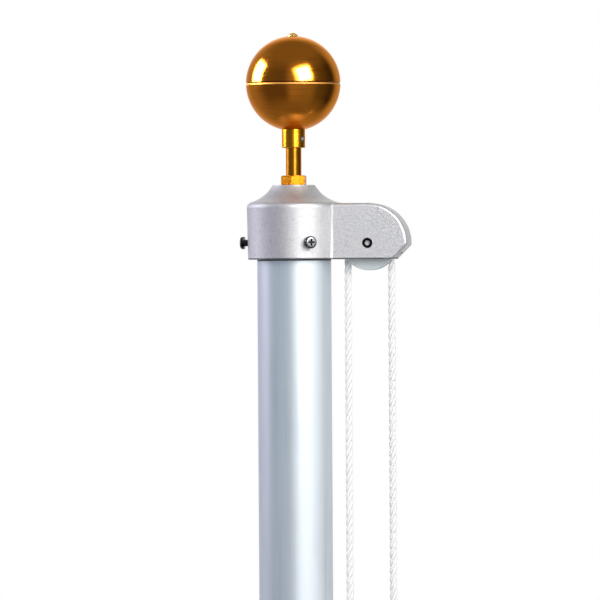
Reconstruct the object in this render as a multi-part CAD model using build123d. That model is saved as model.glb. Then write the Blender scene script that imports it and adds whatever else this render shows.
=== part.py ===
from build123d import *
import math
import os

# Flagpole head: the top of a tubular aluminium pole with its cast truck, rope sheave, halyard and
# ball finial. Millimetres. The origin is the centre of the pole tube's lower end, +Z runs up the
# pole, and the truck's arm points along +X.

# Pole tube
pole_diameter = 60.3
pole_wall = 3.2
pole_below_truck = 350.0

# Truck casting: heights are counted from the collar's rim, and the slot's web parts it from the socket
socket_clearance = 0.9
socket_depth = 40.0
collar_wall = 6.5
collar_draft = 1.2
truck_height = 60.5
boss_radius = 17.9
boss_edge_bevel = 1.0
boss_depth = 11.0
boss_root_radius = 11.0
pole_stop_width = 4.0
pole_stop_height = 2.5
shoulder_round = 5.0
rim_round = 0.8
flare_run = 5.3
skirt_slope = 20.0
arm_width = 38.0
arm_edge_round = 2.6
arm_root_round = 4.0
hood_wall = 5.8
hood_gap = 4.5
slot_web = 4.25
nose_bevel = 11.5
nose_bevel_round = 3.0

# Sheave and the screw that it turns on
axle_height = 13.0
sheave_diameter = 44.4
sheave_width = 19.0
sheave_edge_round = 0.8
groove_flank = 25.0
hub_diameter = 17.0
hub_stand = 1.0
hub_end_play = 0.5
axle_diameter = 6.0
axle_running_gap = 0.08
axle_head_diameter = 8.0
axle_head_height = 4.0
axle_head_sink = 0.5
axle_socket_width = 4.0
axle_socket_depth = 2.2
axle_tip_sink = 0.5

# Halyard
rope_diameter = 6.0
rope_cover = 1.4
groove_gap = 0.3
inner_fall_foot = 60.0
outer_fall_foot = 54.0
knot_diameter = 19.0
knot_height = 24.0
knot_round = 5.0
rope_tail = 13.0

# Pan head screws that clamp the truck to the pole, angles counted from the arm
clamp_screw_angles = {"front": -64.5, "left": 178.0, "back": 58.0}
clamp_screw_height = 13.7
clamp_screw_diameter = 5.0
clamp_head_diameter = 10.2
clamp_head_height = 3.7
clamp_head_stand = 2.9
clamp_head_round = 2.0
cross_slot_width = 1.5
cross_slot_depth = 2.4
cross_mouth_radius = 3.0
cross_floor_radius = 1.2

# Spindle, jam nut and ball finial
spindle_diameter = 12.7
spindle_foot_drop = 3.0
nut_across_flats = 19.05
nut_height = 7.9
nut_turn = 27.0
nut_corner_bevel = 30.0
bare_spindle = 22.4
ferrule_diameter = 19.05
ferrule_height = 13.95
ferrule_edge_round = 0.8
grub_angle = -28.0
grub_diameter = 5.0
grub_drop = 6.5
grub_sink = 0.5
grub_socket_width = 2.5
grub_socket_depth = 1.5
ball_diameter = 77.4
ball_wall = 1.2
seam_depth = 0.8
seam_rise = 0.9
seam_drop = 1.4
lip_rise = 4.0
lip_drop = 6.0
lip_wall = 1.0
rivet_head_diameter = 8.4
rivet_head_height = 2.5
rivet_shank_diameter = 4.8
rivet_shank_length = 9.0

# Fits
thread_gap = 0.1
seat_gap = 0.1
hole_gap = 0.2

# How far a cutting shape runs past the face that it cuts, and the smallest length told from nothing
cut_past = 1.0
speck = 0.01

# Worked out from the above
pole_radius = pole_diameter / 2
socket_radius = pole_radius + socket_clearance
collar_rim_radius = socket_radius + collar_wall
rim_height = pole_below_truck
truck_top = rim_height + truck_height
spindle_radius = spindle_diameter / 2
rope_radius = rope_diameter / 2
sheave_radius = sheave_diameter / 2
slot_radius = sheave_radius + hood_gap
hood_radius = slot_radius + hood_wall
slot_width = sheave_width + 2 * hub_stand + 2 * hub_end_play
axle_reach = socket_radius + slot_web + slot_radius
arm_half_width = arm_width / 2
arm_top = axle_height + hood_radius
nose_reach = axle_reach + hood_radius
pitch_radius = sheave_radius - rope_cover - rope_radius
ball_radius = ball_diameter / 2
ferrule_foot = truck_top + nut_height + bare_spindle
ball_height = ferrule_foot + ferrule_height + ball_radius


def turned(outline, axis=Axis.Z):
    """Solid of revolution of a closed outline drawn in the XZ plane."""
    return revolve(make_face(Plane.XZ * outline), axis)


def rod(radius, start, direction, length):
    """Round bar from a start point along a direction."""
    return Plane(origin=start, z_dir=direction) * Cylinder(
        radius, length, align=(Align.CENTER, Align.CENTER, Align.MIN)
    )


def hexagon_bar(width, start, direction, length, turn=0.0):
    """Hexagonal bar, stated by its width across flats."""
    outline = RegularPolygon(width / 2, 6, major_radius=False, rotation=turn)
    return extrude(Plane(origin=start, z_dir=direction) * outline, amount=length)


def ball(radius):
    """Full sphere about the finial's centre."""
    return Pos(0, 0, ball_height) * Sphere(radius)


# ---- pole tube


def pole_tube():
    """Drawn tube, cut square at both ends, that stops on the ledge inside the truck."""
    length = rim_height + socket_depth - seat_gap
    bore = Cylinder(pole_radius - pole_wall, length, align=(Align.CENTER, Align.CENTER, Align.MIN))
    return rod(pole_radius, (0, 0, 0), (0, 0, 1), length) - bore


# ---- truck casting


def collar_radius(height):
    """Outer radius of the drafted collar at a height above the rim."""
    return collar_rim_radius + height * math.tan(math.radians(collar_draft))


def flare_section():
    """Half section of the boss and its concave flare, one arc that runs out level on the arm's top."""
    flare_foot = (collar_radius(arm_top) + flare_run, arm_top)
    flare_top = (boss_radius, truck_height - boss_edge_bevel)
    outline = Polyline(
        flare_foot,
        (flare_foot[0], 0),
        (0, 0),
        (0, truck_height),
        (boss_radius - boss_edge_bevel / 2, truck_height),
        flare_top,
    )
    return make_face(outline + TangentArc(flare_foot, flare_top, tangent=(-1, 0)))


def flared_disc():
    """Boss and flare as a round body, wider than the collar."""
    return revolve(Plane.XZ * flare_section(), Axis.Z)


def collar_body():
    """Drafted collar under the flare, with its shoulder rounded."""
    draft = make_face(
        Polyline(
            (0, 0),
            (collar_rim_radius, 0),
            (collar_radius(truck_height), truck_height),
            (0, truck_height),
            (0, 0),
        )
    )
    half_section = flare_section() & draft
    shoulder = half_section.vertices().sort_by(Axis.X)[-1]
    return revolve(Plane.XZ * fillet(shoulder, shoulder_round), Axis.Z)


def arm_side():
    """Side of the arm as a wide slab: level top, round nose about the axle, bevelled underside."""
    hood_side = hood_radius * math.sqrt(0.5)
    nose = ThreePointArc(
        (nose_reach, axle_height),
        (axle_reach + hood_side, axle_height + hood_side),
        (axle_reach, arm_top),
    )
    outline = Polyline(
        (axle_reach, arm_top),
        (arm_root()[1][0], arm_top),
        (arm_root()[1][0], 0),
        (nose_reach - nose_bevel, 0),
        (nose_reach, nose_bevel),
        (nose_reach, axle_height),
    )
    slab = extrude(make_face(Plane.XZ * (outline + nose)), amount=arm_width, both=True)
    corner = slab.edges().filter_by(Axis.Y).sort_by_distance((nose_reach, 0, nose_bevel))[0]
    return fillet(corner, nose_bevel_round)


def arm_root():
    """Centre of the root round between cheek and collar, and the point where it enters the collar."""
    hidden_radius = collar_rim_radius - seat_gap
    centre_y = arm_half_width + arm_root_round
    centre_x = math.sqrt((hidden_radius + arm_root_round) ** 2 - centre_y**2)
    share = hidden_radius / (hidden_radius + arm_root_round)
    return (centre_x, centre_y), (centre_x * share, centre_y * share)


def arm_plan():
    """Plan of the arm as a tall block: parallel cheeks that spread into the collar by root rounds."""
    centre, root = arm_root()
    half_turn = (math.atan2(root[1] - centre[1], root[0] - centre[0]) - math.pi / 2) / 2
    middle = (
        centre[0] + arm_root_round * math.cos(half_turn),
        centre[1] + arm_root_round * math.sin(half_turn),
    )
    tip = nose_reach + arm_edge_round
    cheek = Polyline((tip, 0), (tip, arm_half_width), (centre[0], arm_half_width))
    spread = ThreePointArc((centre[0], arm_half_width), middle, root)
    half = cheek + spread + Line(root, (root[0], 0))
    return extrude(make_face(half + mirror(half, Plane.XZ)), truck_height)


def arm_block():
    """Arm up to its level top, its outer edges rounded from the nose's bevel round to the collar."""
    block = arm_side() & arm_plan()
    root = arm_root()[1]

    def runs_along_cheek(edge):
        box = edge.bounding_box()
        on_cheek = box.min.Y * box.max.Y > 0
        upright = box.size.X < speck and box.max.X < axle_reach
        on_end = box.max.X < root[0] + speck
        return on_cheek and not upright and not on_end and box.max.Z > speck

    return fillet(block.edges().filter_by(runs_along_cheek), arm_edge_round)


def flare_skirt():
    """Foot of the flare on top of the arm, which thins out towards the arm's rounded edges."""
    half = arm_half_width - arm_edge_round
    ridge = arm_top + half * math.tan(math.radians(skirt_slope))
    foot = arm_top - arm_edge_round
    section = Polygon((-half, foot), (half, foot), (half, arm_top), (0, ridge), (-half, arm_top), align=None)
    start = arm_root()[1][0]
    run = collar_radius(arm_top) + flare_run - start
    return flared_disc() & extrude(Plane.YZ.offset(start) * section, run)


def eased_rim(body):
    """Casting with its lower edge eased all the way round, except across the nose's bevel."""

    def runs_along_rim(edge):
        box = edge.bounding_box()
        return box.max.Z < speck and box.size.X > speck

    return fillet(body.edges().filter_by(runs_along_rim), rim_round)


def socket_hollow():
    """Inside of the collar: pole socket, ledge that stops the pole, and the hollow under the boss."""
    ledge_radius = pole_radius - pole_stop_width
    ledge_top = socket_depth + pole_stop_height
    return turned(
        Polyline(
            (0, -cut_past),
            (socket_radius, -cut_past),
            (socket_radius, socket_depth),
            (ledge_radius, socket_depth),
            (ledge_radius, ledge_top),
            (boss_root_radius, truck_height - boss_depth),
            (0, truck_height - boss_depth),
            (0, -cut_past),
        )
    )


def sheave_slot():
    """Round-topped slot that houses the sheave and is open underneath."""
    slot = rod(slot_radius, (axle_reach, slot_width / 2, axle_height), (0, -1, 0), slot_width)
    mouth = Pos(axle_reach, 0, axle_height) * Box(
        2 * slot_radius,
        slot_width,
        axle_height + cut_past,
        align=(Align.CENTER, Align.CENTER, Align.MAX),
    )
    return slot + mouth


def axle_holes():
    """Cross hole for the axle with a counterbore for its head in the front cheek."""
    start = (axle_reach, -arm_half_width - cut_past, axle_height)
    hole = rod(axle_diameter / 2 + thread_gap, start, (0, 1, 0), arm_width + 2 * cut_past)
    depth = cut_past + axle_head_sink + axle_head_height
    return hole + rod(axle_head_diameter / 2 + hole_gap, start, (0, 1, 0), depth)


def radial(angle):
    """Unit vector that points out of the pole's axis at an angle from the arm."""
    return Vector(math.cos(math.radians(angle)), math.sin(math.radians(angle)), 0)


def clamp_holes():
    """Tapped holes of the clamp screws, drilled towards the pole's axis."""
    holes = []
    for angle in clamp_screw_angles.values():
        outward = radial(angle)
        start = outward * pole_radius + Vector(0, 0, clamp_screw_height)
        length = collar_radius(clamp_screw_height) - pole_radius + cut_past
        holes.append(rod(clamp_screw_diameter / 2 + thread_gap, start, outward, length))
    return holes


def truck_casting():
    """One-piece casting: collar, flared boss and the hooded arm that carries the sheave."""
    truck = eased_rim(collar_body() + arm_block() + flare_skirt())
    spindle_hole = rod(spindle_radius + thread_gap, (0, 0, 0), (0, 0, 1), truck_height + cut_past)
    truck = truck - socket_hollow() - sheave_slot() - axle_holes() - spindle_hole
    for hole in clamp_holes():
        truck = truck - hole
    return Pos(0, 0, rim_height) * truck


def cross_recess(start, outward):
    """Tapered cross recess of a screw head, cut inwards from the crown of the head."""
    across = Box(2 * cross_mouth_radius, cross_slot_width, 2 * cross_slot_depth)
    cross = across + Rot(0, 0, 90) * across
    taper = Pos(0, 0, -cross_slot_depth / 2) * Cone(cross_floor_radius, cross_mouth_radius, cross_slot_depth)
    return Plane(origin=start, z_dir=outward) * (cross & taper)


def clamp_screw(angle):
    """Pan head machine screw whose flat tip bears on the pole."""
    outward = radial(angle)
    height = Vector(0, 0, rim_height + clamp_screw_height)
    seat = collar_radius(clamp_screw_height) + clamp_head_stand
    tip = pole_radius + seat_gap
    shank = rod(clamp_screw_diameter / 2, outward * tip + height, outward, seat - tip)
    head = rod(clamp_head_diameter / 2, outward * seat + height, outward, clamp_head_height)
    crown_point = outward * (seat + clamp_head_height) + height
    crown = head.edges().sort_by_distance(crown_point)[0]
    head = fillet(crown, clamp_head_round)
    return shank + head - cross_recess(crown_point, outward)


# ---- sheave and axle


def sheave():
    """Grooved rope wheel with a hub that stands proud of its flanges."""
    half = sheave_width / 2
    hub_half = half + hub_stand
    groove_radius = rope_radius + groove_gap
    flank = math.radians(groove_flank)
    root_r = pitch_radius - groove_radius * math.sin(flank)
    root_y = groove_radius * math.cos(flank)
    lip_y = root_y + (sheave_radius - root_r) * math.tan(flank)
    bore = axle_diameter / 2 + axle_running_gap
    hub = hub_diameter / 2
    near = Polyline((bore, 0), (bore, hub_half), (hub, hub_half), (hub, half), (sheave_radius, half))
    flank_line = Polyline((sheave_radius, half), (sheave_radius, lip_y), (root_r, root_y))
    outline = near + flank_line
    root = ThreePointArc((root_r, root_y), (pitch_radius - groove_radius, 0), (root_r, -root_y))
    face = make_face(outline + root + mirror(outline, Plane.XZ))
    tips = face.vertices().filter_by(lambda vertex: vertex.X > sheave_radius - speck)
    wheel = revolve(fillet(tips, sheave_edge_round), Axis.Y)
    return Pos(axle_reach, 0, rim_height + axle_height) * wheel


def sheave_axle():
    """Socket head screw, sunk in the front cheek and threaded into the back one."""
    centre = Vector(axle_reach, 0, rim_height + axle_height)
    back = Vector(0, 1, 0)
    head_face = centre - back * (arm_half_width - axle_head_sink)
    head = rod(axle_head_diameter / 2, head_face, back, axle_head_height)
    length = arm_width - axle_head_sink - axle_tip_sink
    shank = rod(axle_diameter / 2, head_face, back, length)
    socket = hexagon_bar(axle_socket_width, head_face, back, axle_socket_depth)
    return head + shank - socket


# ---- halyard


def halyard_route():
    """Corners of the rope's route in the sheave's plane, as reach and height, inner fall first."""
    inner_x = axle_reach - pitch_radius
    outer_x = axle_reach + pitch_radius
    crown = rim_height + axle_height + pitch_radius
    return [(inner_x, inner_fall_foot), (inner_x, crown), (outer_x, crown), (outer_x, outer_fall_foot)]


def halyard():
    """One rope, straight up from the inner knot, half a turn over the sheave, and down again."""
    inner_foot, inner_corner, outer_corner, outer_foot = halyard_route()
    onto_sheave = (inner_corner[0], inner_corner[1] - pitch_radius)
    off_sheave = (outer_corner[0], outer_corner[1] - pitch_radius)
    over_sheave = ThreePointArc(onto_sheave, (axle_reach, inner_corner[1]), off_sheave)
    path = Plane.XZ * (Line(inner_foot, onto_sheave) + over_sheave + Line(off_sheave, outer_foot))
    section = Plane(origin=(inner_foot[0], 0, inner_foot[1]), z_dir=(0, 0, 1)) * Circle(rope_radius)
    rope = sweep(section, path=path)
    print("halyard arc radius", round(pitch_radius, 2), "length", round(path.length, 1))
    print("halyard volume", round(rope.volume), "expected", round(section.area * path.length))
    return rope


def halyard_knot(rope_end):
    """Stopper knot as a plain rounded barrel with the rope's short tail under it."""
    fall_x, top = rope_end
    barrel = rod(knot_diameter / 2, (fall_x, 0, top - knot_height), (0, 0, 1), knot_height)
    barrel = fillet(barrel.edges().filter_by(GeomType.CIRCLE), knot_round)
    tail = rod(rope_radius, (fall_x, 0, top - knot_height - rope_tail), (0, 0, 1), rope_tail + knot_round)
    return barrel + tail


# ---- spindle and finial


def spindle():
    """Round rod from under the truck's boss up through the ball, bored for the rivet."""
    foot = truck_top - boss_depth - spindle_foot_drop
    top = ball_height + math.sqrt((ball_radius - ball_wall) ** 2 - spindle_radius**2) - seat_gap
    bar = rod(spindle_radius, (0, 0, foot), (0, 0, 1), top - foot)
    rivet_bore = rod(
        rivet_shank_diameter / 2 + thread_gap, (0, 0, top), (0, 0, -1), rivet_shank_length
    )
    return bar - rivet_bore


def spindle_nut():
    """Hexagon jam nut on the boss, its corners bevelled at both ends."""
    corner_radius = nut_across_flats / 2 / math.cos(math.pi / 6)
    flat_radius = nut_across_flats / 2
    drop = (corner_radius - flat_radius) * math.tan(math.radians(nut_corner_bevel))
    bevels = turned(
        Polyline(
            (0, 0),
            (flat_radius, 0),
            (corner_radius, drop),
            (corner_radius, nut_height - drop),
            (flat_radius, nut_height),
            (0, nut_height),
            (0, 0),
        )
    )
    bar = hexagon_bar(nut_across_flats, (0, 0, 0), (0, 0, 1), nut_height, turn=nut_turn)
    hole = rod(spindle_radius + thread_gap, (0, 0, -cut_past), (0, 0, 1), nut_height + 2 * cut_past)
    return Pos(0, 0, truck_top) * ((bar & bevels) - hole)


def grub_frame():
    """Outward direction of the grub screw and its height on the ferrule."""
    return radial(grub_angle), Vector(0, 0, ferrule_foot + ferrule_height - grub_drop)


def ball_ferrule():
    """Sleeve under the ball, cupped on top to seat the ball and drilled for its grub screw."""
    outer = rod(ferrule_diameter / 2, (0, 0, ferrule_foot), (0, 0, 1), ferrule_height + ball_wall * 2)
    lower_edge = outer.edges().filter_by(GeomType.CIRCLE).sort_by(Axis.Z)[0]
    outer = fillet(lower_edge, ferrule_edge_round)
    bore_length = cut_past + ferrule_height + ball_wall * 2 + cut_past
    bore = rod(spindle_radius + thread_gap, (0, 0, ferrule_foot - cut_past), (0, 0, 1), bore_length)
    outward, height = grub_frame()
    grub_hole = rod(grub_diameter / 2 + thread_gap, height, outward, ferrule_diameter)
    return outer - bore - ball(ball_radius + seat_gap) - grub_hole


def ball_grub_screw():
    """Headless screw with a hexagon socket, just under the ferrule's surface."""
    outward, height = grub_frame()
    tip = spindle_radius + seat_gap
    end = ferrule_diameter / 2 - grub_sink
    screw = rod(grub_diameter / 2, outward * tip + height, outward, end - tip)
    socket = hexagon_bar(grub_socket_width, outward * end + height, outward * -1, grub_socket_depth)
    return screw - socket


def seam_groove():
    """Ring that cuts the V groove at the seam, its lower side the wider one."""
    root = (ball_radius - seam_depth, ball_height)
    mouth = ball_radius + seam_depth
    upper = (mouth, ball_height + 2 * seam_rise)
    lower = (mouth, ball_height - 2 * seam_drop)
    return turned(Polyline(root, upper, lower, root))


def ball_half(side):
    """Spun half shell above (1) or below (-1) the seam, its outer edge bevelled at the seam."""
    shell = ball(ball_radius) - ball(ball_radius - ball_wall)
    half_space = Pos(0, 0, ball_height + side * ball_radius) * Box(
        2 * ball_diameter, 2 * ball_diameter, 2 * ball_radius
    )
    return (shell & half_space) - seam_groove()


def ball_upper_half():
    """Upper half shell with the rivet's hole at its top."""
    rivet_hole = rod(rivet_shank_diameter / 2 + thread_gap, (0, 0, ball_height), (0, 0, 1), ball_diameter)
    return ball_half(1) - rivet_hole


def ball_lower_half():
    """Lower half shell with the spindle's hole and the inner lip that centres the upper half."""
    inner_radius = ball_radius - ball_wall
    lip_radius = math.sqrt(inner_radius**2 - lip_rise**2) - seat_gap
    lip_foot = ball_height - lip_drop
    lip = rod(lip_radius, (0, 0, lip_foot), (0, 0, 1), lip_drop + lip_rise)
    lip = lip - rod(lip_radius - lip_wall, (0, 0, lip_foot), (0, 0, 1), lip_drop + lip_rise)
    lip = lip & ball(ball_radius - ball_wall / 2)
    spindle_hole = rod(spindle_radius + hole_gap, (0, 0, ball_height), (0, 0, -1), ball_diameter)
    return ball_half(-1) + lip - spindle_hole


def ball_top_rivet():
    """Domed rivet that holds the upper half down on the spindle."""
    ball_top = ball_height + ball_radius
    half = rivet_head_diameter / 2
    dome = (half**2 + rivet_head_height**2) / (2 * rivet_head_height)
    head = Pos(0, 0, ball_top + rivet_head_height - dome) * Sphere(dome)
    head = head - ball(ball_radius + seat_gap)
    head = head & Pos(0, 0, ball_top) * Box(2 * half, 2 * half, 4 * rivet_head_height)
    shank_top = ball_top + rivet_head_height / 2
    shank = rod(rivet_shank_diameter / 2, (0, 0, shank_top), (0, 0, -1), rivet_shank_length)
    return head + shank


def nodes():
    """Every sub-part by its node name."""
    made = {
        "pole_tube": pole_tube(),
        "truck_casting": truck_casting(),
        "sheave": sheave(),
        "sheave_axle": sheave_axle(),
        "halyard": halyard(),
        "halyard_knot_inner": halyard_knot(halyard_route()[0]),
        "halyard_knot_outer": halyard_knot(halyard_route()[-1]),
        "spindle": spindle(),
        "spindle_nut": spindle_nut(),
        "ball_ferrule": ball_ferrule(),
        "ball_grub_screw": ball_grub_screw(),
        "ball_lower_half": ball_lower_half(),
        "ball_upper_half": ball_upper_half(),
        "ball_top_rivet": ball_top_rivet(),
    }
    for side, angle in clamp_screw_angles.items():
        made["clamp_screw_" + side] = clamp_screw(angle)
    return made


os.makedirs("parts", exist_ok=True)
for name, shape in nodes().items():
    export_step(shape, os.path.join("parts", name + ".step"))
    print(name, "solids", len(shape.solids()), "volume", round(shape.volume))
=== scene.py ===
import math

import bpy
import numpy as np
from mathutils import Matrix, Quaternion, Vector


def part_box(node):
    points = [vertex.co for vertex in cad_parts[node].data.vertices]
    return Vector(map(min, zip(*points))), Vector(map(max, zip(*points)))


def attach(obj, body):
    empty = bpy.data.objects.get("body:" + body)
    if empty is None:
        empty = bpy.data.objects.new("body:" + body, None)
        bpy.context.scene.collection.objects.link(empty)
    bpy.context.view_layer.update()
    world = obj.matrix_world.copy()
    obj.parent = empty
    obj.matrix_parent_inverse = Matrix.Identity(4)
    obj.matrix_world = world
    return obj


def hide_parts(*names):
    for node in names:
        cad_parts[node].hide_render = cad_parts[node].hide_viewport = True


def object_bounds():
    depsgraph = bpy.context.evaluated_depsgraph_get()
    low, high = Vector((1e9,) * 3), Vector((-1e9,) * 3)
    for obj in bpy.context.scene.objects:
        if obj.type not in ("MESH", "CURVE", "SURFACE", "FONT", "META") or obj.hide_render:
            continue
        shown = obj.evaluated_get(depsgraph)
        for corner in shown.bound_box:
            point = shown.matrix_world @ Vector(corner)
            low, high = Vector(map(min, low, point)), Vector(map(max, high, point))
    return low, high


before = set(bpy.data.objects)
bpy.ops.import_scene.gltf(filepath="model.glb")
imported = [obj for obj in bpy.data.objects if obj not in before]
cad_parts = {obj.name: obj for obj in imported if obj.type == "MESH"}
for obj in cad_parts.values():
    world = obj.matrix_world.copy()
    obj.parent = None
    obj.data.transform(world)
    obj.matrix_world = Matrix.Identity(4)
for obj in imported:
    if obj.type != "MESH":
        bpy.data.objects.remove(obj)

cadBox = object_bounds()
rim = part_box("truck_casting")[0].z  # height of the casting's lower edge
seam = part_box("ball_upper_half")[0].z  # height of the joint round the ball
headFace = -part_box("clamp_screw_left")[0].x  # from the tube's middle out to a clamp screw's face

# The camera is a long lens, level with the middle of what shows and a little round towards the arm.
shot = {
    "lens": 442.0,  # mm, as the sensor
    "sensor": 36.0,
    "distance": 6.0,
    "nearest": 0.1,
    "farthest": 60,
    "turn": math.radians(7.0),
    "level": 0.317,
    "aside": 0.0045,
    "roll": math.radians(-0.34),
}


def placeCamera():
    toRight = Vector((math.cos(shot["turn"]), math.sin(shot["turn"]), 0))
    toViewer = Vector((math.sin(shot["turn"]), -math.cos(shot["turn"]), 0))
    data = bpy.data.cameras.new("longLens")
    data.lens = shot["lens"]
    data.sensor_width = shot["sensor"]
    data.clip_start = shot["nearest"]
    data.clip_end = shot["farthest"]
    camera = bpy.data.objects.new("longLens", data)
    camera.location = toRight * shot["aside"] + toViewer * shot["distance"] + Vector((0, 0, shot["level"]))
    camera.rotation_mode = "QUATERNION"
    facing = (-toViewer).to_track_quat("-Z", "Y")
    camera.rotation_quaternion = facing @ Quaternion((0, 0, 1), shot["roll"])
    bpy.context.scene.collection.objects.link(camera)
    bpy.context.scene.camera = camera


placeCamera()
bpy.context.scene.view_settings.view_transform = "Standard"
print("camera in place")


def meshObject(name, points, faces):
    mesh = bpy.data.meshes.new(name)
    mesh.from_pydata([tuple(p) for p in points], [], faces)
    mesh.update()
    mesh.shade_smooth()
    made = bpy.data.objects.new(name, mesh)
    bpy.context.scene.collection.objects.link(made)
    return made


def tubeFaces(rings, around):
    # the wall between rings + 1 rounds of points, and a face to close each end
    faces = []
    for ring in range(rings):
        here, above = ring * around, (ring + 1) * around
        for k in range(around):
            n = (k + 1) % around
            faces.append((here + k, here + n, above + n, above + k))
    faces.append(tuple(reversed(range(around))))
    faces.append(tuple(rings * around + k for k in range(around)))
    return faces


def dressed(piece, material, body):
    piece.data.materials.append(material)
    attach(piece, body)


def evenSteps(line, step):
    # the same line, with points an even step apart
    line = np.array(line)
    along = np.concatenate([[0], np.cumsum(np.linalg.norm(np.diff(line, axis=0), axis=1))])
    count = max(2, int(round(along[-1] / step)) + 1)
    wanted = np.linspace(0, along[-1], count)
    return np.stack([np.interp(wanted, along, line[:, axis]) for axis in range(3)], axis=1), along[-1]


def splineLine(name, points, detail=64):
    # the points that a smooth spline through this route's control points has
    curve = bpy.data.curves.new(name, "CURVE")
    curve.dimensions = "3D"
    spline = curve.splines.new("NURBS")
    spline.points.add(len(points) - 1)
    for control, point in zip(spline.points, points):
        control.co = (*point, 1.0)
    spline.order_u = 3
    spline.use_endpoint_u = True
    spline.resolution_u = detail
    holder = bpy.data.objects.new(name, curve)
    mesh = bpy.data.meshes.new_from_object(holder)
    line = [tuple(v.co) for v in mesh.vertices]
    bpy.data.objects.remove(holder)
    bpy.data.curves.remove(curve)
    bpy.data.meshes.remove(mesh)
    return line


def framesAlong(line):
    # a side direction and its partner at each point, carried along without twist
    tangents = np.gradient(line, axis=0)
    tangents /= np.linalg.norm(tangents, axis=1)[:, None]
    side = np.cross(tangents[0], (0.0, 1.0, 0.0))
    sides = []
    for tangent in tangents:
        side = side - tangent * np.dot(side, tangent)
        side /= np.linalg.norm(side)
        sides.append(side)
    sides = np.array(sides)
    return sides, np.cross(tangents, sides)


# The halyard is one laid rope over the sheave, with a stopper knot at each end.
rope = {
    "diameter": 0.006,
    "length": 0.668,
    "lay": 0.0205,  # one full turn of the strands
    "strands": 3,
    "strandRadius": 0.00155,
    "strandOffset": 0.00145,
    "ring": 0.0007,
    "lobe": 9,  # points round each strand's visible back
    "sharpFrom": math.radians(50),  # keeps the grooves between the strands crisp
    "route": [
        (0.0442, 0, 0.060),
        (0.0442, 0, 0.327),
        (0.0442, 0, 0.3808),
        (0.0798, 0, 0.3808),
        (0.0798, 0, 0.327),
        (0.0798, 0, 0.054),
    ],
}


def ropeSection():
    # outline of the strands' outer backs, as an angle and a radius at each point
    offset, radius, strands = rope["strandOffset"], rope["strandRadius"], rope["strands"]
    half = math.pi / strands
    section = []
    for strand in range(strands):
        for step in range(rope["lobe"]):
            angle = -half + 2 * half * step / rope["lobe"]
            reach = offset * math.cos(angle) + math.sqrt(radius**2 - (offset * math.sin(angle)) ** 2)
            section.append((strand * 2 * half + angle, reach))
    return section


def laidRope(name, line, size=1.0):
    # left-handed rope: its strands climb to the left on the side that faces you
    line, length = evenSteps(line, rope["ring"])
    sides, partners = framesAlong(line)
    section = ropeSection()
    rings = len(line) - 1
    points = []
    for index, centre in enumerate(line):
        turn = 2 * math.pi * length * index / rings / rope["lay"]
        for angle, reach in section:
            a = angle + turn
            outward = sides[index] * math.cos(a) + partners[index] * math.sin(a)
            points.append(centre + outward * reach * size)
    made = meshObject(name, points, tubeFaces(rings, len(section)))
    made.data.set_sharp_from_angle(angle=rope["sharpFrom"])
    return made, line


def newMaterial(name):
    material = bpy.data.materials.new(name)
    material.use_nodes = True
    tree = material.node_tree
    return material, tree, tree.nodes["Principled BSDF"]


def setInputs(tree, node, inputs):
    # another node's result is linked, and a plain value is set on the socket
    for name, value in inputs.items():
        if isinstance(value, bpy.types.NodeSocket):
            tree.links.new(value, node.inputs[name])
        else:
            node.inputs[name].default_value = value


def addNode(tree, kind, inputs=None, **settings):
    node = tree.nodes.new(kind)
    for name, value in settings.items():
        setattr(node, name, value)
    setInputs(tree, node, inputs or {})
    return node


def mathOf(tree, operation, *values, clamped=False):
    inputs = dict(enumerate(values))
    return addNode(tree, "ShaderNodeMath", inputs, operation=operation, use_clamp=clamped).outputs[0]


def placeOf(tree):
    return addNode(tree, "ShaderNodeTexCoord").outputs["Object"]


def stretched(tree, scale):
    # object position, stretched for noise that runs in one direction
    return addNode(tree, "ShaderNodeMapping", {"Vector": placeOf(tree), "Scale": scale}).outputs["Vector"]


def partsOf(tree, vector):
    return addNode(tree, "ShaderNodeSeparateXYZ", {0: vector}).outputs


def lengthOf(tree, vector):
    return addNode(tree, "ShaderNodeVectorMath", {0: vector}, operation="LENGTH").outputs["Value"]


def flatLength(tree, first, second):
    return lengthOf(tree, addNode(tree, "ShaderNodeCombineXYZ", {0: first, 1: second}).outputs[0])


def noiseOf(tree, vector, scale, detail=2.0, roughness=0.5):
    inputs = {"Vector": vector, "Scale": scale, "Detail": detail, "Roughness": roughness}
    return addNode(tree, "ShaderNodeTexNoise", inputs).outputs["Fac"]


def ramp(tree, factor, between, colours):
    # from the first colour to the second as the factor goes from low to high
    node = addNode(tree, "ShaderNodeValToRGB", {"Fac": factor})
    for stop, position, colour in zip(node.color_ramp.elements, between, colours):
        stop.position = position
        stop.color = (*colour, 1)
    return node.outputs["Color"]


def span(tree, value, between, results=(0.0, 1.0)):
    names = ("From Min", "From Max", "To Min", "To Max")
    inputs = {"Value": value, **dict(zip(names, (*between, *results)))}
    return addNode(tree, "ShaderNodeMapRange", inputs).outputs["Result"]


def mixColour(tree, factor, start, end):
    # sockets 6 and 7 of a mix node take its colours, and its result 2 is a colour
    start, end = ((*each, 1) if isinstance(each, tuple) else each for each in (start, end))
    return addNode(tree, "ShaderNodeMix", {"Factor": factor, 6: start, 7: end}, data_type="RGBA").outputs[2]


def mixNumber(tree, factor, start, end):
    return addNode(tree, "ShaderNodeMix", {"Factor": factor, 2: start, 3: end}).outputs[0]


def bump(tree, height, depth, strength, normal=None):
    inputs = {"Height": height, "Distance": depth, "Strength": strength}
    if normal is not None:
        inputs["Normal"] = normal
    return addNode(tree, "ShaderNodeBump", inputs).outputs["Normal"]


def withinOf(tree, value, middle, half, soft):
    # 1 where the value is within half of the middle, 0 from a soft edge outwards
    away = mathOf(tree, "ABSOLUTE", mathOf(tree, "SUBTRACT", value, middle))
    return span(tree, away, (half, half + soft), (1.0, 0.0))


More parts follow.
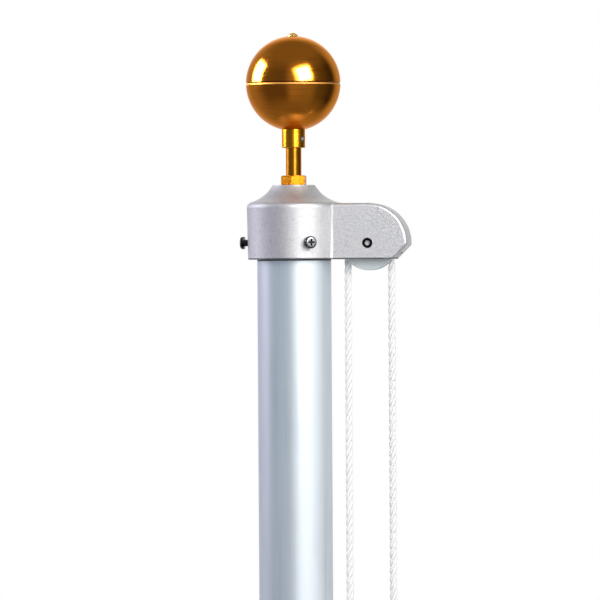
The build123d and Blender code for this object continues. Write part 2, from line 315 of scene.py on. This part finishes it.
# In the dictionaries of the finishes a noise is its scale, detail and roughness, a relief is its depth
# and strength, and a pair of colours or of roughnesses runs from the noise's lows to its highs.
oneNoise = (0.3, 0.7)  # the range that a noise mostly keeps to
twoNoises = (0.75, 1.25)  # and that of two added up

castLook = {
    "grain": (1300.0, 3.0, 0.7),
    "mottle": (420.0, 4.0, 0.7),
    "skin": ((0.69, 0.69, 0.70), (0.86, 0.86, 0.87)),
    "rough": (0.43, 0.55),
    "metal": 0.85,
    "relief": (0.0002, 0.9),
    "edgeRound": 0.0004,
    "edgeSamples": 6,
    "rimShadeColour": (0.09, 0.09, 0.092),
    "rimShadeWander": 0.0012,  # how far up the painted shade line along the lower edge may wander
    "rimShadeFade": 0.0007,
    "underside": (0.00005, 0.0003),  # and the height over which it starts, clear of the underside
}


def castAluminium():
    # sand-cast skin, with a painted shade line along the lower edge
    material, tree, shader = newMaterial("castAluminium")
    place = placeOf(tree)
    grain = noiseOf(tree, place, *castLook["grain"])
    mottle = noiseOf(tree, place, *castLook["mottle"])
    both = mathOf(tree, "ADD", grain, mottle)
    height = partsOf(tree, place)["Z"]
    # painted shade: a dark line just above the lower edge, wandering with the mottle
    line = mathOf(tree, "MULTIPLY_ADD", mottle, castLook["rimShadeWander"], rim)
    above = span(tree, mathOf(tree, "SUBTRACT", height, line), (0.0, castLook["rimShadeFade"]))
    below = span(tree, height, [rim + rise for rise in castLook["underside"]], (1.0, 0.0))
    unshaded = mathOf(tree, "MAXIMUM", above, below)
    skin = ramp(tree, both, twoNoises, castLook["skin"])
    radius, samples = {"Radius": castLook["edgeRound"]}, castLook["edgeSamples"]
    edges = addNode(tree, "ShaderNodeBevel", radius, samples=samples).outputs["Normal"]
    setInputs(tree, shader, {
        "Base Color": mixColour(tree, unshaded, castLook["rimShadeColour"], skin),
        "Roughness": span(tree, grain, oneNoise, castLook["rough"]),
        "Normal": bump(tree, both, *castLook["relief"], edges),
        "Metallic": castLook["metal"],
    })
    return material


tubeLook = {
    "drawn": (700.0, 3.0, 0.6),
    "drawnAlong": (1, 1, 0.01),
    "cloud": (40.0, 3.0, 0.5),
    "cloudAlong": (1, 1, 0.3),
    "skin": ((0.78, 0.85, 0.91), (0.84, 0.905, 0.955)),
    "rough": (0.41, 0.46),
    "metal": 0.75,
    "relief": (0.00002, 0.3),
    "collarShadowColour": (0.012, 0.012, 0.014),
    "collarShadowFrom": (-0.0013, -0.0008),  # the painted shadow under the collar starts between these
}


def anodisedTube():
    # drawn tube with faint marks along it, and a painted shadow where it enters the collar
    material, tree, shader = newMaterial("anodisedTube")
    drawn = noiseOf(tree, stretched(tree, tubeLook["drawnAlong"]), *tubeLook["drawn"])
    cloud = noiseOf(tree, stretched(tree, tubeLook["cloudAlong"]), *tubeLook["cloud"])
    skin = ramp(tree, mathOf(tree, "ADD", drawn, cloud), twoNoises, tubeLook["skin"])
    height = partsOf(tree, placeOf(tree))["Z"]
    # painted shadow of the collar on the top of the tube
    collarShadowed = span(tree, height, [rim + rise for rise in tubeLook["collarShadowFrom"]])
    setInputs(tree, shader, {
        "Base Color": mixColour(tree, collarShadowed, skin, tubeLook["collarShadowColour"]),
        "Roughness": span(tree, drawn, oneNoise, tubeLook["rough"]),
        "Normal": bump(tree, drawn, *tubeLook["relief"]),
        "Metallic": tubeLook["metal"],
    })
    return material


golds = {
    "marks": (600.0, 2.0, 0.5),
    "turned": (0.05, 0.05, 1),  # marks drawn out round the piece, where it is turned on a lathe
    "plain": (1, 1, 1),
    "cloud": (35.0, 3.0, 0.5),
    "relief": (0.00001, 0.2),
    "tint": (1.0, 0.72, 0.42, 1),
    "coat": (0.25, 0.05),  # the clear skin's weight and roughness
    # each gold's darker and lighter colour, roughness and kind of marks
    "goldBall": ((0.73, 0.22, 0.011), (0.83, 0.27, 0.015), (0.08, 0.13), "turned"),
    "goldBar": ((0.82, 0.27, 0.008), (0.92, 0.34, 0.014), (0.09, 0.13), "turned"),
    "goldFerrule": ((0.86, 0.32, 0.01), (0.94, 0.39, 0.016), (0.15, 0.19), "turned"),
    # the rivet's paler gold is partly painted light, standing in for the light it catches from above
    "goldRivetLit": ((0.88, 0.50, 0.12), (0.96, 0.62, 0.22), (0.28, 0.38), "plain"),
    "goldNut": ((0.75, 0.24, 0.007), (0.85, 0.315, 0.013), (0.165, 0.2), "plain"),
}

# Heights count from the joint round the ball.
ballJoint = {
    "paleLip": (-0.0007, 0.0006, 0.0002),  # middle, half height and soft edge of the lower lip, rougher and paler so that it catches the lamps as a thin bright line
    "paleColour": (0.36, 0.17, 0.04),
    "paleRough": 0.55,
    # the upper lip just above the joint is painted dark, as the shadow in the joint's groove
    "shadedLip": (0.0005, 0.0004, 0.0002),
    "lipShadowColour": (0.25, 0.06, 0.0),
    "handled": (-0.018, -0.031),  # the underside is handled most, and so duller
    "handledRough": 0.38,
}


def goldFinish(name, joint=None):
    # dyed and sealed aluminium: deep gold under a clear skin, with faint turning marks
    material, tree, shader = newMaterial(name)
    dark, light, roughness, marks = golds[name]
    turned = noiseOf(tree, stretched(tree, golds[marks]), *golds["marks"])
    cloud = noiseOf(tree, placeOf(tree), *golds["cloud"])
    colour = ramp(tree, mathOf(tree, "ADD", turned, cloud), twoNoises, (dark, light))
    rough = span(tree, turned, oneNoise, roughness)
    if joint is not None:
        height = partsOf(tree, placeOf(tree))["Z"]
        fromJoint = mathOf(tree, "SUBTRACT", height, seam)
        pale = withinOf(tree, fromJoint, *joint["paleLip"])
        # painted shadow: the band just above the joint is darkened
        lipShadow = withinOf(tree, fromJoint, *joint["shadedLip"])
        colour = mixColour(tree, pale, colour, joint["paleColour"])
        colour = mixColour(tree, lipShadow, colour, joint["lipShadowColour"])
        handled = span(tree, fromJoint, joint["handled"])
        rough = mixNumber(tree, pale, rough, joint["paleRough"])
        rough = mixNumber(tree, handled, rough, joint["handledRough"])
    setInputs(tree, shader, {
        "Base Color": colour,
        "Roughness": rough,
        "Normal": bump(tree, turned, *golds["relief"]),
        "Metallic": 1.0,
        "Specular Tint": golds["tint"],
        "Coat Weight": golds["coat"][0],
        "Coat Roughness": golds["coat"][1],
    })
    return material


# These finishes share one recipe: patches of two colours, and a fine grain in the gloss and the relief.
grained = {
    "mouldedNylon": {
        "patch": (60.0, 3.0),
        "patches": oneNoise,
        "colours": ((0.66, 0.73, 0.735), (0.72, 0.79, 0.795)),
        "grain": (1500.0, 2.0),
        "rough": (0.42, 0.5),
        "relief": (0.00003, 0.3),
        "metal": 0.0,
    },
    # the thread under the screw heads is painted near-black as shade
    "threadShadeZinc": {
        "patch": (300.0, 4.0, 0.6),
        "patches": (0.35, 0.65),
        "colours": ((0.02, 0.02, 0.021), (0.10, 0.10, 0.105)),
        "grain": (2500.0, 2.0),
        "rough": (0.12, 0.24),
        "relief": (0.00002, 0.4),
        "metal": 1.0,
    },
    # the screws' near-black is painted shade on the heads' sides, with the faces painted lighter as lit
    "screwZinc": {
        "patch": (420.0, 3.0, 0.6),
        "patches": (0.50, 0.62),
        "colours": ((0.012, 0.012, 0.013), (0.40, 0.40, 0.41)),
        "grain": (2500.0, 2.0),
        "rough": (0.16, 0.30),
        "relief": (0.00002, 0.4),
        "metal": 1.0,
        "face": (-0.0006, -0.0002),  # from the head's face inwards, painted lighter as the lit face of the head
        "faceColour": (0.56, 0.56, 0.57),
    },
    "brightSteel": {
        "patch": (2500.0, 2.0),
        "patches": oneNoise,
        "colours": ((0.62, 0.62, 0.63), (0.75, 0.75, 0.76)),
        "grain": (2500.0, 2.0),
        "rough": (0.2, 0.3),
        "relief": (0.00002, 0.3),
        "metal": 1.0,
    },
}


def grainedFinish(name):
    look = grained[name]
    material, tree, shader = newMaterial(name)
    place = placeOf(tree)
    grain = noiseOf(tree, place, *look["grain"])
    colour = ramp(tree, noiseOf(tree, place, *look["patch"]), look["patches"], look["colours"])
    # a screw's face is painted lighter than its shaded sides, as lit
    if "face" in look:
        parts = partsOf(tree, place)
        reach = flatLength(tree, parts["X"], parts["Y"])
        litFace = span(tree, reach, [headFace + rise for rise in look["face"]])
        colour = mixColour(tree, litFace, colour, look["faceColour"])
    setInputs(tree, shader, {
        "Base Color": colour,
        "Roughness": span(tree, grain, oneNoise, look["rough"]),
        "Normal": bump(tree, grain, *look["relief"]),
        "Metallic": look["metal"],
    })
    return material


axleLook = {
    "grain": (2500.0, 2.0),
    "wobble": 0.0003,  # of the socket's edge
    "edge": (0.0019, 0.0024),  # from the axle's middle, where the socket ends and the head starts
    "colours": ((0.95, 0.95, 0.96), (0.02, 0.02, 0.021)),  # socket painted bright as a highlight, head painted near-black as shade
    "metals": (0.3, 1.0),
    "rough": (0.2, 0.35),
}


def axleSteel():
    # a head painted near-black as shade round a socket painted bright as a highlight
    material, tree, shader = newMaterial("axleSteel")
    place = placeOf(tree)
    parts = partsOf(tree, place)
    low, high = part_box("sheave_axle")
    middle = (low + high) / 2
    along = mathOf(tree, "SUBTRACT", parts["X"], middle.x)
    above = mathOf(tree, "SUBTRACT", parts["Z"], middle.z)
    grain = noiseOf(tree, place, *axleLook["grain"])
    wobble = mathOf(tree, "MULTIPLY", grain, axleLook["wobble"])
    reach = mathOf(tree, "ADD", flatLength(tree, along, above), wobble)
    head = span(tree, reach, axleLook["edge"])
    setInputs(tree, shader, {
        "Base Color": ramp(tree, head, (0.0, 1.0), axleLook["colours"]),
        "Roughness": span(tree, grain, oneNoise, axleLook["rough"]),
        "Metallic": span(tree, reach, axleLook["edge"], axleLook["metals"]),
    })
    return material


fibreLook = {
    "yarn": (2600.0, 2.0, 0.6),
    "yarnAlong": (1, 1, 0.35),
    "unshaded": ((0.93, 0.93, 0.925), (0.97, 0.97, 0.965)),
    "groove": (0.42, 0.42, 0.425),
    "grooveReach": 0.0016,
    "grooveSamples": 8,
    "openness": (0.35, 0.75),  # from shut in as a groove is, painted fully as shade, to open enough to be unshaded
    "relief": (0.00012, 0.6),
    "rough": 0.75,
    "sheen": 0.2,
}


def laidFibre():
    # pale yarns, with painted shade where the grooves between the strands are shut in
    material, tree, shader = newMaterial("laidFibre")
    yarn = noiseOf(tree, stretched(tree, fibreLook["yarnAlong"]), *fibreLook["yarn"])
    unshaded = ramp(tree, yarn, oneNoise, fibreLook["unshaded"])
    reach, samples = {"Distance": fibreLook["grooveReach"]}, fibreLook["grooveSamples"]
    shade = addNode(tree, "ShaderNodeAmbientOcclusion", reach, samples=samples).outputs["AO"]
    openness = span(tree, shade, fibreLook["openness"])
    setInputs(tree, shader, {
        "Base Color": mixColour(tree, openness, fibreLook["groove"], unshaded),
        "Normal": bump(tree, yarn, *fibreLook["relief"]),
        "Roughness": fibreLook["rough"],
        "Sheen Weight": fibreLook["sheen"],
    })
    return material


castMetal = castAluminium()
tubeMetal = anodisedTube()
goldBall = goldFinish("goldBall", ballJoint)
goldBar = goldFinish("goldBar")
goldFerrule = goldFinish("goldFerrule")
goldRivetLit = goldFinish("goldRivetLit")
goldNut = goldFinish("goldNut")
nylon = grainedFinish("mouldedNylon")
zinc = grainedFinish("screwZinc")
threadShadeZinc = grainedFinish("threadShadeZinc")
steel = grainedFinish("brightSteel")
axleMetal = axleSteel()
fibre = laidFibre()

finishes = {
    "pole_tube": tubeMetal,
    "truck_casting": castMetal,
    "sheave": nylon,
    "sheave_axle": axleMetal,
    "spindle": goldBar,
    "spindle_nut": goldNut,
    "ball_ferrule": goldFerrule,
    "ball_grub_screw": steel,
    "ball_lower_half": goldBall,
    "ball_upper_half": goldBall,
    "ball_top_rivet": goldRivetLit,
    "clamp_screw_front": zinc,
    "clamp_screw_left": zinc,
    "clamp_screw_back": zinc,
}
for node, material in finishes.items():
    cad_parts[node].data.materials.clear()
    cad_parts[node].data.materials.append(material)
print("finishes on", len(finishes), "carried-over parts")

halyard, halyardLine = laidRope("halyardRope", splineLine("halyardRoute", rope["route"]))
dressed(halyard, fibre, "mast")
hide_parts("halyard")

# A pass through the knot is a list of points: how many cores to the side, how far aside, and the height
# from the knot's top, middle or foot.
knot = {
    "height": 0.024,
    "wraps": 2.5,
    "core": 0.0026,  # how far each of the two inner passes lies from the middle
    "reach": (0.0078, 0.0056),  # half-axes of the wraps' centreline
    "inset": 0.55,  # rope diameters from the knot's ends to its first and last wrap
    "pointsPerTurn": 8,
    "pull": 0.93,  # the rope is squeezed in the knot
    "passIn": [
        (0, 0, "top", 0.002),
        (0.6, 0, "top", -0.003),
        (1, 0, "middle", 0),
        (1, 0, "foot", 0.006),
    ],
    "passOut": [
        (-1.2, 0.001, "top", -0.004),
        (-1, 0, "middle", 0),
        (-1, 0, "foot", 0.004),
        (-0.5, 0, "foot", -0.004),
        (0, 0, "foot", -0.013),  # the end of the tail
    ],
}


def knotRoute(fall, top):
    # down the middle, round and up in wraps, then back down under them and out as the tail
    heights = {"top": top, "middle": top - knot["height"] / 2, "foot": top - knot["height"]}

    def passPoints(name):
        return [
            (fall + knot["core"] * share, aside, heights[start] + rise)
            for share, aside, start, rise in knot[name]
        ]

    steps = int(knot["wraps"] * knot["pointsPerTurn"])
    inset = rope["diameter"] * knot["inset"]
    low, high = heights["foot"] + inset, top - inset
    wraps = []
    for step in range(steps + 1):
        share = step / steps
        angle = 2 * math.pi * knot["wraps"] * share
        along = fall + knot["reach"][0] * math.cos(angle)
        wraps.append((along, knot["reach"][1] * math.sin(angle), low + (high - low) * share))
    return passPoints("passIn") + wraps + passPoints("passOut")


knots = []
for name, node, (fall, _, top) in (
    ("knotInner", "halyard_knot_inner", rope["route"][0]),
    ("knotOuter", "halyard_knot_outer", rope["route"][-1]),
):
    tied, _ = laidRope(name, splineLine(name, knotRoute(fall, top)), knot["pull"])
    dressed(tied, fibre, "mast")
    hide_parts(node)
    knots.append(tied)

print("rope", len(halyard.data.polygons), "faces")

# Thread shows between the collar and each clamp screw's head.
clampThread = {
    "angles": (-64.5, 178.0, 58.0),
    "height": 0.3637,
    "from": 0.0379,
    "to": 0.0407,
    "root": 0.00252,
    "crest": 0.0028,
    "pitch": 0.0008,
    "around": 28,
    "ringsPerTurn": 8,
}


def threadSleeve(name, angle):
    outward = Vector((math.cos(angle), math.sin(angle), 0))
    side = Vector((-math.sin(angle), math.cos(angle), 0))
    up = Vector((0, 0, 1))
    around = clampThread["around"]
    length = clampThread["to"] - clampThread["from"]
    rings = int(length / clampThread["pitch"] * clampThread["ringsPerTurn"])
    points = []
    for ring in range(rings + 1):
        travelled = length * ring / rings
        middle = outward * (clampThread["from"] + travelled) + up * clampThread["height"]
        for k in range(around):
            turn = k / around
            share = (travelled / clampThread["pitch"] - turn) % 1.0
            ridge = 1 - abs(2 * share - 1)
            reach = clampThread["root"] + (clampThread["crest"] - clampThread["root"]) * ridge
            a = 2 * math.pi * turn
            points.append(middle + (side * math.cos(a) + up * math.sin(a)) * reach)
    return meshObject(name, points, tubeFaces(rings, around))


for name, angle in zip(("threadFront", "threadLeft", "threadBack"), clampThread["angles"]):
    dressed(threadSleeve(name, math.radians(angle)), threadShadeZinc, "mast")
print("clamp threads cut")

# To the camera the floor keeps its shadows inside "clearTo" and is plain white beyond "whiteFrom".
floor = {
    "radius": 1.6,
    "rings": 24,
    "around": 96,
    "clearTo": 0.3,
    "whiteFrom": 0.95,
    "paper": (400.0, 3.0),
    "colours": ((0.80, 0.80, 0.80), (0.84, 0.84, 0.84)),
    "rough": 0.9,
}
plainWhite = {"Color": (1, 1, 1, 1), "Strength": 1.0}


def floorMesh():
    around = floor["around"]
    points = [(0, 0, 0)]
    for ring in range(1, floor["rings"] + 1):
        reach = floor["radius"] * ring / floor["rings"]
        for k in range(around):
            angle = 2 * math.pi * k / around
            points.append((reach * math.cos(angle), reach * math.sin(angle), 0))
    faces = []
    for k in range(around):
        n = (k + 1) % around
        faces.append((0, 1 + k, 1 + n))
        for ring in range(floor["rings"] - 1):
            inner, outer = 1 + ring * around, 1 + (ring + 1) * around
            faces.append((inner + k, outer + k, outer + n, inner + n))
    return meshObject("paleFloor", points, faces)


def palePaper():
    material, tree, shader = newMaterial("palePaper")
    place = placeOf(tree)
    fade = span(tree, lengthOf(tree, place), (floor["clearTo"], floor["whiteFrom"]))
    fibres = noiseOf(tree, place, *floor["paper"])
    setInputs(tree, shader, {
        "Base Color": ramp(tree, fibres, oneNoise, floor["colours"]),
        "Roughness": floor["rough"],
    })
    glow = addNode(tree, "ShaderNodeEmission", plainWhite).outputs[0]
    rays = addNode(tree, "ShaderNodeLightPath").outputs
    seen = mathOf(tree, "MULTIPLY", rays["Is Camera Ray"], fade)
    mixed = addNode(tree, "ShaderNodeMixShader", {"Fac": seen, 1: shader.outputs[0], 2: glow}).outputs[0]
    tree.links.new(mixed, tree.nodes["Material Output"].inputs["Surface"])
    return material


def makeFloor():
    made = floorMesh()
    made.data.materials.append(palePaper())
    made.visible_glossy = False


# The room's brightness at eye level goes by degrees round from the camera, each with its tint.
room = {
    "around": [
        (-150, 0.52, "cool"),
        (-120, 0.34, "cool"),
        (-65, 0.13, "cool"),
        (-25, 0.12, "cool"),
        (0, 0.33, "plain"),
        (40, 0.26, "plain"),
        (70, 0.11, "plain"),
        (108, 0.05, "plain"),
        (140, 0.55, "plain"),
    ],
    "aboveAndBelow": 0.22,
    "wallEnds": (0.45, 0.85),  # how steeply up or down the walls give way to ceiling and floor
    "backdrop": (152, 172),  # the white wall behind the pole starts between these
    "tints": {"cool": (1.0, 1.0, 1.18), "plain": (0.98, 1.0, 1.02)},
}


def roomWalls(tree, around, tilt):
    band = addNode(tree, "ShaderNodeValToRGB", {"Fac": span(tree, around, (-math.pi, math.pi))})
    band.color_ramp.interpolation = "EASE"
    stops = band.color_ramp.elements
    while len(stops) < len(room["around"]):
        stops.new(0.5)
    for stop, (angle, level, tint) in zip(stops, room["around"]):
        stop.position = (angle + 180) / 360
        stop.color = (*(level * part for part in room["tints"][tint]), 1)
    ends = (room["aboveAndBelow"],) * 3
    return mixColour(tree, span(tree, tilt, room["wallEnds"]), band.outputs["Color"], ends)


def makeWorld():
    world = bpy.data.worlds.new("studio")
    bpy.context.scene.world = world
    world.use_nodes = True
    tree = world.node_tree
    direction = addNode(tree, "ShaderNodeTexCoord").outputs["Generated"]
    fromCamera = {"Vector": direction, "Angle": -shot["turn"]}
    turned = addNode(tree, "ShaderNodeVectorRotate", fromCamera, rotation_type="Z_AXIS").outputs[0]
    parts = partsOf(tree, turned)
    toCamera = mathOf(tree, "MULTIPLY", parts["Y"], -1.0)
    around = mathOf(tree, "ARCTAN2", parts["X"], toCamera)
    tilt = mathOf(tree, "ABSOLUTE", parts["Z"])
    studio = tree.nodes["Background"]
    setInputs(tree, studio, {"Color": roomWalls(tree, around, tilt), "Strength": 1.0})
    white = addNode(tree, "ShaderNodeBackground", plainWhite).outputs[0]
    # the white backdrop: all that the camera sees, and what metal mirrors of the wall behind the pole
    rays = addNode(tree, "ShaderNodeLightPath").outputs
    mirrored = mathOf(tree, "ADD", rays["Is Glossy Ray"], rays["Is Transmission Ray"], clamped=True)
    wallFrom = [math.radians(angle) for angle in room["backdrop"]]
    behind = span(tree, mathOf(tree, "ABSOLUTE", around), wallFrom)
    level = span(tree, tilt, room["wallEnds"], (1.0, 0.0))
    wall = mathOf(tree, "MULTIPLY", behind, level)
    shown = mathOf(tree, "MULTIPLY_ADD", mirrored, wall, rays["Is Camera Ray"], clamped=True)
    mixed = addNode(tree, "ShaderNodeMixShader", {"Fac": shown, 1: studio.outputs[0], 2: white}).outputs[0]
    tree.links.new(mixed, tree.nodes["World Output"].inputs["Surface"])


# Each lamp has its place, width and height in degrees as the part sees them, round from the camera and
# up. It is fully bright out to "even", with its edge at 0.5, and "for" names all that it lights.
lamps = {
    "rightSoftbox": {
        "turn": 26, "lift": 23, "wide": 50, "high": 47, "slant": 11, "even": 0.27, "glow": 5.1,
    },
    "leftSoftbox": {
        "turn": -102, "lift": 20, "wide": 42, "high": 42, "glow": 3.2, "tint": (0.93, 0.90, 1.03),
    },
    "rightFill": {
        "turn": 54, "lift": 8, "wide": 44, "high": 60, "glow": 0.95, "for": "satin",
    },
    "tubeFill": {
        "turn": 82, "lift": 6, "wide": 40, "high": 60, "glow": 0.85, "for": "tube",
    },
    "tubeCool": {
        "turn": -44, "lift": 6, "wide": 50, "high": 60, "glow": 0.33, "for": "tube",
        "tint": (0.5, 0.8, 1.0),
    },
    "castCool": {
        "turn": -44, "lift": 6, "wide": 50, "high": 60, "glow": 0.24, "for": "cast",
        "tint": (0.7, 0.66, 1.0),
    },
    "ropeFill": {
        "turn": -25, "lift": 24, "wide": 60, "high": 50, "glow": 1.45, "for": "rope",
    },
    "rightGlint": {
        "turn": 28, "lift": 23, "wide": 36, "high": 34, "slant": 11, "even": 0.33, "glow": 55, "for": "gold",
    },
    "leftGlint": {
        "turn": -101, "lift": 21, "wide": 34, "high": 34, "even": 0.33, "glow": 55, "for": "gold",
    },
}
lampDefaults = {
    "distance": 3.0,
    "for": None,
    "slant": 0,
    "even": 0.2,
    "tint": (1.0, 1.0, 1.0),
    "lastDepth": 2.5,  # a glint isn't seen by light that has bounced more often than this
}

# The gold takes its two glints, the satin metal, the tube and the casting their fills, the rope its own.
litApart = {name: bpy.data.collections.new(name) for name in ("gold", "satin", "cast", "tube", "rope")}
for node, material in finishes.items():
    if material in (goldBall, goldBar, goldFerrule, goldRivetLit, goldNut):
        litApart["gold"].objects.link(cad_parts[node])
    if material in (castMetal, tubeMetal):
        litApart["satin"].objects.link(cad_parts[node])
litApart["cast"].objects.link(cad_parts["truck_casting"])
litApart["tube"].objects.link(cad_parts["pole_tube"])
for piece in (halyard, *knots):
    litApart["rope"].objects.link(piece)


def lampGlow(tree, lamp):
    # even in the middle, and falling off over the outer part
    spot = addNode(tree, "ShaderNodeNewGeometry").outputs["Parametric"]
    parts = partsOf(tree, spot)
    half = lamp["even"]
    falls = [withinOf(tree, parts[axis], 0.5, half, 0.5 - half) for axis in ("X", "Y")]
    glow = mathOf(tree, "MULTIPLY", mathOf(tree, "MULTIPLY", *falls), lamp["glow"])
    if lamp["for"] == "gold":
        # seen in the gold itself, and not thrown on from it
        depth = addNode(tree, "ShaderNodeLightPath").outputs["Ray Depth"]
        glow = mathOf(tree, "MULTIPLY", glow, mathOf(tree, "LESS_THAN", depth, lamp["lastDepth"]))
    return glow


def makeLamp(name, settings):
    lamp = {**lampDefaults, **settings}
    data = bpy.data.lights.new(name, "AREA")
    data.shape = "RECTANGLE"
    data.size = 2 * lamp["distance"] * math.tan(math.radians(lamp["wide"] / 2))
    data.size_y = 2 * lamp["distance"] * math.tan(math.radians(lamp["high"] / 2))
    data.energy = math.pi * data.size * data.size_y  # a strength of 1 in the nodes is then plain white
    data.color = lamp["tint"]
    if lamp["for"] == "gold":
        data.cycles.max_bounces = 0
    data.use_nodes = True
    tree = data.node_tree
    tree.links.new(lampGlow(tree, lamp), tree.nodes["Emission"].inputs["Strength"])
    made = bpy.data.objects.new(name, data)
    turn = shot["turn"] + math.radians(lamp["turn"])
    lift = math.radians(lamp["lift"])
    away = Vector((math.sin(turn) * math.cos(lift), -math.cos(turn) * math.cos(lift), math.sin(lift)))
    aim = Vector((0, 0, (cadBox[1].z + shot["level"]) / 2))
    made.location = aim + away * lamp["distance"]
    made.rotation_mode = "QUATERNION"
    facing = (-away).to_track_quat("-Z", "Y")
    made.rotation_quaternion = facing @ Quaternion((0, 0, 1), math.radians(lamp["slant"]))
    made.visible_camera = False
    bpy.context.scene.collection.objects.link(made)
    if lamp["for"]:
        made.light_linking.receiver_collection = litApart[lamp["for"]]


makeFloor()
makeWorld()
for name, settings in lamps.items():
    makeLamp(name, settings)
print("studio lit")
